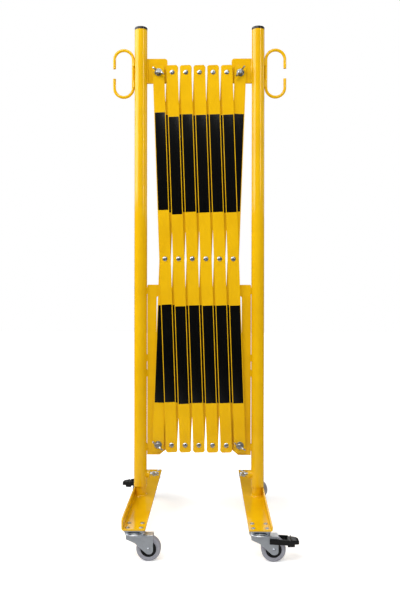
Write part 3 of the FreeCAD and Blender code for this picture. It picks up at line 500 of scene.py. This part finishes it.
@dataclass(frozen=True)
class Finishes:
    """The made materials of the barrier."""

    coat: bpy.types.Material
    zinc: bpy.types.Material
    fork_zinc: bpy.types.Material
    cap: bpy.types.Material
    hub: bpy.types.Material
    pedal: bpy.types.Material
    vinyl: bpy.types.Material
    rubber: bpy.types.Material

    @classmethod
    def make(cls) -> Finishes:
        """Makes each finish once."""
        return cls(
            coat=PowderCoat("traffic_yellow_powder_coat", "#edb90c", "#dda507").make(),
            zinc=ZincPlate("blue_zinc_plate", "#dde2e8", "#b4bbc3", 0.3).make(),
            fork_zinc=ZincPlate("satin_zinc_plate", "#e4e9f0", "#ccd3db", 0.42, 1.0).make(),
            cap=BlackPlastic("polished_black_polyethylene", "#070709", "#131316",
                             Moulding.POLISHED).make(),
            hub=BlackPlastic("satin_black_polypropylene", "#050506", "#111113",
                             Moulding.SATIN).make(),
            pedal=BlackPlastic("grained_black_nylon", "#030303", "#0c0c0c",
                               Moulding.SPARKED).make(),
            vinyl=Vinyl("black_vinyl_film", "#050505", "#0b0a0a").make(),
            rubber=TreadRubber("grey_tread_rubber", "#9d9da6", "#84848c").make())

    def for_node(self, node: str) -> bpy.types.Material:
        """Gives the finish of a CAD node by its name."""
        endings: dict[str, bpy.types.Material] = {
            "end_cap": self.cap, "tyre": self.rubber, "wheel_hub": self.hub,
            "brake_pedal": self.pedal, "fork": self.fork_zinc, "bolt": self.zinc,
            "wing_nut": self.zinc, "clamp_screw": self.zinc, "castor_plates": self.zinc,
            "castor_screws": self.zinc}
        for ending, material in endings.items():
            if node.endswith(ending):
                return material
        return self.zinc if node.startswith("rivets_") else self.coat


# ---- Lattice ------------------------------------------------------------------------------------
@dataclass
class Lattice:
    """The vinyl bands on six crossed pairs of flat slats."""

    finishes: Finishes
    joints: dict[str, dict[str, Any]]
    cells: int = 6
    band_width: float = 23.8 * MM
    band_length: float = 229.0 * MM
    band_start: float = 99.0 * MM
    band_thickness: float = 0.16 * MM
    band_corner: float = 0.7 * MM

    def pivot(self, index: int, top: bool) -> Vector:
        """Gives an end pivot: 0 is at the left post and cells at the right post."""
        first = Vector(self.joints["fold"]["pos_m"])
        last = Vector(self.joints["right_post_pivot"]["pos_m"])
        place = first.lerp(last, index / self.cells)
        if not top:
            place.z = self.joints["bottom_left_nut_turn"]["pos_m"][2]
        return place

    def bands(self) -> Iterable[bpy.types.Object]:
        """Makes the four vinyl bands of each slat: two on its front and two on its back.

        Returns:
            One piece for each slat.
        """
        # Hand-laid film never lines up exactly, so each slat's bands sit a little high or low.
        laid = {"front": (5.0, -5.2, 0.6, -0.9, 0.4, -0.3), "rear": (0.0, 1.4, -1.2, 0.8, -0.6, 2.2)}
        for layer, shifts in laid.items():
            for i, shift in enumerate(shifts, start=1):
                name = f"{layer}_slat_{i}"
                ends = (i - 1, i) if layer == "front" else (i, i - 1)
                top, bottom = self.pivot(ends[0], True), self.pivot(ends[1], False)
                low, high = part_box(name)
                mesh = bmesh.new()
                for start in (self.band_start - shift * MM, self._lower_start(top, bottom, shift)):
                    for y, outward in ((low.y, -1.0), (high.y, 1.0)):
                        self._band(mesh, top, bottom, start, y, outward)
                piece = mesh_object(f"{name}_bands", mesh, self.finishes.vinyl)
                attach(piece, name)
                yield piece

    def _lower_start(self, top: Vector, bottom: Vector, shift: float) -> float:
        """Gives the start of the lower band, as far from its end pivot as the upper one is."""
        span = math.hypot(bottom.x - top.x, bottom.z - top.z)
        return span - self.band_start - self.band_length - shift * 0.4 * MM

    def _band(self, mesh: bmesh.types.BMesh, top: Vector, bottom: Vector, start: float, y: float,
              outward: float) -> None:
        """Adds one thin strip with rounded corners, lying on a face of a slat."""
        line = Vector((bottom.x - top.x, 0, bottom.z - top.z)).normalized()
        across = Vector((-line.z, 0, line.x))
        half, r = self.band_width / 2, self.band_corner
        corners = []
        for cu, cv, first in ((half - r, r, 270), (half - r, self.band_length - r, 0),
                              (r - half, self.band_length - r, 90), (r - half, r, 180)):
            corners += [(cu + r * math.cos(math.radians(first + 30 * k)),
                         cv + r * math.sin(math.radians(first + 30 * k))) for k in range(4)]
        origin = Vector((top.x, y, top.z)) + line * start
        layers = []
        for lift, inset in ((0.0, 0.0), (0.8, 0.0), (1.0, 0.12 * MM)):
            ring = []
            for u, v in corners:
                u_in = u * (1 - inset / half)
                v_in = v + (inset if v < self.band_length / 2 else -inset)
                ring.append(mesh.verts.new(origin + across * u_in + line * v_in + Vector(
                    (0, outward * lift * self.band_thickness, 0))))
            layers.append(ring)
        for below, above in zip(layers, layers[1:]):
            for k in range(len(corners)):
                n = (k + 1) % len(corners)
                mesh.faces.new((below[k], below[n], above[n], above[k]))
        mesh.faces.new(layers[-1])
        mesh.faces.new(layers[0][::-1])


# ---- Castors ------------------------------------------------------------------------------------
@dataclass
class Castor:
    """One swivel castor: its tyre is turned afresh, with rounded shoulders and a mould seam."""

    finishes: Finishes
    corner: str
    shoulder: float = 3.4 * MM
    seam: float = 0.12 * MM
    seam_width: float = 0.4 * MM
    land: float = 0.5 * MM
    bevel: float = 0.5 * MM
    sides: int = 72

    def tyre(self) -> bpy.types.Object:
        """Turns the tyre that stands for the CAD one."""
        node = f"{self.corner}_tyre"
        hub_low, hub_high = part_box(f"{self.corner}_wheel_hub")
        low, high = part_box(node)
        centre = (low + high) / 2
        outer = (high.z - low.z) / 2
        inner = (hub_high.z - hub_low.z) / 2
        face = (high.y - low.y) / 2
        r, groove = self.shoulder, self.seam_width / 2
        profile = [(inner, -face + self.bevel), (inner + self.bevel, -face)]
        profile += arc((outer - r, -face + r), r, -90, 0, 7)
        profile += [(outer, -self.land), (outer, -groove), (outer - self.seam, 0.0),
                    (outer, groove), (outer, self.land)]
        profile += arc((outer - r, face - r), r, 0, 90, 7)
        profile += [(inner + self.bevel, face), (inner, face - self.bevel)]
        mesh = bmesh.new()
        lathe(mesh, profile, along(Vector((0, 1, 0)), centre), self.sides)
        piece = mesh_object(f"{self.corner}_turned_tyre", mesh, self.finishes.rubber, 50.0)
        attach(piece, f"{self.corner}_wheel")
        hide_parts(node)
        return piece


# ---- Posts --------------------------------------------------------------------------------------
@dataclass
class Post:
    """One round post: its crowned cap, its welds and the thread of its clamp screw."""

    finishes: Finishes
    side: str
    crown: float = 0.4 * MM
    edge: float = 1.0 * MM
    cap_bevel: float = 0.3 * MM
    plug_inset: float = 2.1 * MM
    plug_wall: float = 2.5 * MM
    cap_sides: int = 64
    plate_half: float = 2.0 * MM
    stitch: float = 16.0 * MM
    stitches: tuple[float, ...] = (0.045, 0.48, 0.57, 0.965)
    hook_rod: float = 7.0 * MM
    hook_bend: float = 22.15 * MM
    screw_radius: float = 4.0 * MM
    bare_shank: float = 6.0 * MM

    def cap(self) -> bpy.types.Object:
        """Turns the end cap that stands for the CAD one."""
        node = f"{self.side}_end_cap"
        low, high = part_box(node)
        tube_low, tube_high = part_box(f"{self.side}_post_tube")
        centre = (low + high) / 2
        outer = (high.x - low.x) / 2
        seat = tube_high.z
        rim = high.z - self.crown
        plug, bevel = outer - self.plug_inset, self.cap_bevel
        bore = plug - self.plug_wall
        profile = [(0.0, seat), (bore, seat), (bore, low.z), (plug, low.z), (plug, seat),
                   (outer - bevel, seat), (outer, seat + bevel)]
        profile += arc((outer - self.edge, rim - self.edge), self.edge, 0, 80, 7)
        profile += [(outer * 0.5, high.z - self.crown * 0.3), (0.0, high.z)]
        mesh = bmesh.new()
        lathe(mesh, profile, Matrix.Translation(Vector((centre.x, centre.y, 0))), self.cap_sides)
        piece = mesh_object(f"{self.side}_crowned_cap", mesh, self.finishes.cap, 40.0)
        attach(piece, f"{self.side}_post")
        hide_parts(node)
        return piece

    def welds(self) -> bpy.types.Object:
        """Lays the rippled welds of the hook, both brackets and the clamp boss."""
        sign = -1.0 if self.side == "left" else 1.0
        tube_low, tube_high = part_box(f"{self.side}_post_tube")
        axis, radius = (tube_low.x + tube_high.x) / 2, (tube_high.x - tube_low.x) / 2
        mesh, bead = bmesh.new(), Bead()
        top_low, top_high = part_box(f"{self.side}_top_bracket")
        slot_low, slot_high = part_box(f"{self.side}_slot_bracket")
        inner = axis - sign * (radius + 0.15 * MM)
        runs = [(inner, self.plate_half, top_low.z + 1.2 * MM, top_high.z - 1.2 * MM)]
        tall = slot_high.z - slot_low.z
        for share in self.stitches:
            middle = slot_low.z + share * tall
            runs.append((inner - sign * 0.3 * MM, self.plate_half,
                         max(slot_low.z + MM, middle - self.stitch / 2),
                         min(slot_high.z - MM, middle + self.stitch / 2)))
        hook_low, hook_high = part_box(f"{self.side}_rod_hook")
        rod = self.hook_rod
        middle = (hook_low.z + hook_high.z) / 2
        straight = (hook_high.z - hook_low.z) / 2 - rod / 2 - self.hook_bend
        back = axis + sign * (radius + rod * 0.14)
        for up in (-1, 1):
            centre = middle + up * (straight - self.stitch / 2)
            runs.append((back, rod * 0.42, centre - self.stitch / 2, centre + self.stitch / 2))
        for x, y, low, high in runs:
            for front in (-1, 1):
                start, end = Vector((x, front * y, low)), Vector((x, front * y, high))
                bead.lay(mesh, lambda t, a=start, b=end: a.lerp(b, t), high - low)
        boss_low, boss_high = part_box(f"{self.side}_clamp_boss")
        height, ring = (boss_low.z + boss_high.z) / 2, (boss_high.z - boss_low.z) / 2

        def round_boss(share: float) -> Vector:
            """Gives a point on the seam between the boss and the tube."""
            turn = 2 * math.pi * share
            y = ring * math.cos(turn)
            return Vector((axis - sign * math.sqrt(radius ** 2 - y ** 2), y,
                           height + ring * math.sin(turn)))

        Bead(1.5 * MM, 0.25 * MM, 2.2 * MM).lay(mesh, round_boss, 2 * math.pi * ring, True)
        piece = mesh_object(f"{self.side}_post_welds", mesh, self.finishes.coat, 50.0)
        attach(piece, f"{self.side}_post")
        return piece

    def clamp_thread(self) -> bpy.types.Object:
        """Cuts the thread on the bare shank of the clamp screw."""
        sign = -1.0 if self.side == "left" else 1.0
        low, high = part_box(f"{self.side}_clamp_boss")
        start = Vector((low.x if sign > 0 else high.x, (low.y + high.y) / 2, (low.z + high.z) / 2))
        mesh = bmesh.new()
        thread(mesh, along(Vector((-sign, 0, 0)), start), self.screw_radius, self.bare_shank)
        piece = mesh_object(f"{self.side}_clamp_thread", mesh, self.finishes.zinc, 40.0)
        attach(piece, f"{self.side}_clamp_screw")
        return piece


# ---- Feet ---------------------------------------------------------------------------------------
@dataclass
class Foot:
    """One foot: the weld that runs round its spigot."""

    finishes: Finishes
    side: str
    spigot_radius: float = 12.9 * MM
    flange_gap: float = 11.0 * MM
    sheet: float = 3.0 * MM
    ring_proud: float = 0.9 * MM
    ring_lift: float = 0.7 * MM
    end_gap_deg: float = 9.0

    def weld(self) -> bpy.types.Object:
        """Lays the rippled ring, open where the flange stands against the spigot."""
        tube_low, tube_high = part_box(f"{self.side}_post_tube")
        foot_low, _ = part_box(f"{self.side}_foot")
        axis = (tube_low.x + tube_high.x) / 2
        outward = -1.0 if self.side == "left" else 1.0
        ring = self.spigot_radius + self.ring_proud
        floor = foot_low.z + self.sheet + self.ring_lift
        half = math.acos(self.flange_gap / ring) + math.radians(self.end_gap_deg)
        first, last = half, 2 * math.pi - half

        def round_spigot(share: float) -> Vector:
            """Gives a point on the foot of the spigot."""
            turn = first + (last - first) * share
            return Vector((axis + outward * ring * math.cos(turn), ring * math.sin(turn), floor))

        mesh = bmesh.new()
        Bead(2.0 * MM, 0.35 * MM, 2.8 * MM).lay(mesh, round_spigot, ring * (last - first))
        piece = mesh_object(f"{self.side}_spigot_weld", mesh, self.finishes.coat, 50.0)
        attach(piece, f"{self.side}_foot")
        return piece


# ---- Studio -------------------------------------------------------------------------------------
@dataclass
class Lamp:
    """One soft rectangular studio light."""

    name: str
    at: tuple[float, float, float]
    toward: tuple[float, float, float]
    width: float
    height: float
    watts: float
    tint: str = "#ffffff"

    def make(self) -> bpy.types.Object:
        """Hangs the light, facing its target."""
        data = bpy.data.lights.new(self.name, "AREA")
        data.shape = "RECTANGLE"
        data.size, data.size_y = self.width, self.height
        data.energy = self.watts
        data.color = linear(self.tint)[:3]
        lamp = bpy.data.objects.new(self.name, data)
        aim = Vector(self.toward) - Vector(self.at)
        lamp.matrix_world = Matrix.Translation(Vector(self.at)) @ aim.to_track_quat(
            "-Z", "Y").to_matrix().to_4x4()
        bpy.context.scene.collection.objects.link(lamp)
        return lamp


@dataclass
class Studio:
    """White floor and surround, soft lights and the camera."""

    eye: tuple[float, float, float] = (0.0232, -1.5533, 0.5313)
    yaw_deg: float = 0.78
    pitch_deg: float = -0.03
    roll_deg: float = -0.10
    lens_mm: float = 26.34
    sensor_mm: float = 24.0
    fill: float = 0.32
    reflected: float = 0.05
    near_glow: float = 0.35
    floor_reach: float = 9.0
    floor_cuts: int = 12

    def camera(self) -> bpy.types.Object:
        """Sets up the camera with the view of the whole barrier."""
        data = bpy.data.cameras.new("camera")
        data.sensor_fit = "VERTICAL"
        data.sensor_height = self.sensor_mm
        data.lens = self.lens_mm
        data.clip_start, data.clip_end = 0.05, 50.0
        camera = bpy.data.objects.new("camera", data)
        turn = (Matrix.Rotation(math.radians(self.yaw_deg), 4, "Z")
                @ Matrix.Rotation(math.radians(self.pitch_deg), 4, "X")
                @ Matrix.Rotation(math.radians(self.roll_deg), 4, "Y")
                @ Matrix.Rotation(math.radians(90), 4, "X"))
        camera.matrix_world = Matrix.Translation(Vector(self.eye)) @ turn
        bpy.context.scene.collection.objects.link(camera)
        bpy.context.scene.camera = camera
        return camera

    def paper(self) -> bpy.types.Material:
        """Makes matt white paper that reads as white behind the object and keeps its shadow."""
        material, shader, place = new_finish("white_studio_paper")
        tree = material.node_tree
        fibre = add_node(tree, "ShaderNodeTexNoise", {
            "Vector": place, "Scale": per_metre(120.0), "Detail": 4.0})
        tone = add_node(tree, "ShaderNodeMix", {
            "Factor": fibre.outputs["Fac"], "A": linear("#fbfbfb"), "B": linear("#f7f7f7")},
            data_type="RGBA")
        shader.inputs["Roughness"].default_value = 0.9
        # The eye sees paper that fades to plain white away from the barrier. Reflections see it dim.
        ray = add_node(tree, "ShaderNodeLightPath")
        away = add_node(tree, "ShaderNodeVectorMath", {0: place}, operation="LENGTH")
        glow = add_node(tree, "ShaderNodeMapRange", {
            "Value": away.outputs["Value"], "From Min": 0.45, "From Max": 1.1,
            "To Min": self.near_glow, "To Max": 1.0}, interpolation_type="SMOOTHSTEP")
        seen = add_node(tree, "ShaderNodeMath", {
            0: glow.outputs["Result"], 1: ray.outputs["Is Camera Ray"]}, operation="MULTIPLY")
        shader.inputs["Emission Color"].default_value = (1.0, 1.0, 1.0, 1.0)
        tree.links.new(seen.outputs["Value"], shader.inputs["Emission Strength"])
        mirrored = add_node(tree, "ShaderNodeMapRange", {
            "Value": away.outputs["Value"], "From Min": 0.5, "From Max": 1.1, "To Min": 0.4,
            "To Max": 0.04})
        dim = add_node(tree, "ShaderNodeMix", {
            "Factor": ray.outputs["Is Glossy Ray"], "A": tone.outputs["Result"],
            "B": mirrored.outputs["Result"]}, data_type="RGBA")
        tree.links.new(dim.outputs["Result"], shader.inputs["Base Color"])
        return material

    def floor(self) -> bpy.types.Object:
        """Lays the paper floor, far wider than the view."""
        mesh = bmesh.new()
        reach, cuts = self.floor_reach, self.floor_cuts
        grid = [[mesh.verts.new((reach * (2 * i / cuts - 1), reach * (2 * j / cuts - 1), 0.0))
                 for i in range(cuts + 1)] for j in range(cuts + 1)]
        for j in range(cuts):
            for i in range(cuts):
                mesh.faces.new((grid[j][i], grid[j][i + 1], grid[j + 1][i + 1], grid[j + 1][i]))
        floor = mesh_object("paper_floor", mesh, self.paper())
        return floor

    def world(self) -> None:
        """Gives a plain surround: white where it is seen, a soft fill, and dark where it reflects."""
        world = bpy.data.worlds.new("white_surround")
        bpy.context.scene.world = world
        world.use_nodes = True
        tree = world.node_tree
        surround = tree.nodes["Background"]
        ray = add_node(tree, "ShaderNodeLightPath")
        # Sockets 0, 2 and 3 of a number mix are its factor and its two numbers.
        fill = add_node(tree, "ShaderNodeMix", {
            0: ray.outputs["Is Glossy Ray"], 2: self.fill, 3: self.reflected}, data_type="FLOAT")
        strength = add_node(tree, "ShaderNodeMix", {
            0: ray.outputs["Is Camera Ray"], 2: fill.outputs[0], 3: 1.0}, data_type="FLOAT")
        surround.inputs["Color"].default_value = (1.0, 1.0, 1.0, 1.0)
        tree.links.new(strength.outputs[0], surround.inputs["Strength"])

    def lights(self) -> None:
        """Hangs the lamps: a broad one on the left, two strips on the right, a key and two above."""
        middle = (0.0, 0.0, 0.65)
        for lamp in (
                Lamp("left_softbox", (-1.60, -0.25, 1.62), (0.0, 0.0, 1.1), 2.1, 1.25, 28.0),
                Lamp("right_strip", (1.10, -1.06, 1.55), (0.0, 0.0, 1.1), 0.055, 1.2, 5.0),
                Lamp("right_back_strip", (1.50, 0.43, 1.5), (0.0, 0.0, 1.1), 0.35, 1.2, 3.0),
                Lamp("front_key", (-0.55, -1.75, 2.6), middle, 1.8, 1.0, 34.0),
                Lamp("overhead", (0.0, 0.1, 2.9), middle, 1.6, 1.6, 7.0),
                Lamp("back_light", (0.2, 2.4, 1.7), middle, 1.8, 1.4, 12.0)):
            lamp.make()

    def build(self) -> None:
        """Sets up the view transform, surround, floor, lights and camera."""
        bpy.context.scene.view_settings.view_transform = "Standard"
        self.world()
        self.floor()
        self.lights()
        self.camera()


# ---- Assembly -----------------------------------------------------------------------------------
def dress_nodes(nodes: dict[str, bpy.types.Object], finishes: Finishes) -> None:
    """Gives each CAD node its finish.

    Args:
        nodes: the CAD nodes by name.
        finishes: the made materials.
    """
    for name, node in nodes.items():
        material = finishes.for_node(name)
        if not node.material_slots:
            node.data.materials.append(material)
        for slot in node.material_slots:
            slot.material = material


def main() -> None:
    """Loads the frame, dresses it, adds the pieces and sets up the studio."""
    logging.basicConfig(level=logging.INFO, format="%(name)s: %(message)s")
    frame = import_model()
    finishes = Finishes.make()
    dress_nodes(frame["nodes"], finishes)
    joints = {joint["name"]: joint for joint in frame["joints"]}
    for piece in Lattice(finishes, joints).bands():
        LOG.info("band set %s", piece.name)
    for side in ("left", "right"):
        post = Post(finishes, side)
        for piece in (post.cap(), post.welds(), post.clamp_thread(), Foot(finishes, side).weld()):
            LOG.info("post piece %s", piece.name)
    for corner in ("front_left", "front_right", "rear_left", "rear_right"):
        LOG.info("tyre %s", Castor(finishes, corner).tyre().name)
    Studio().build()


if __name__ == "__main__":
    main()
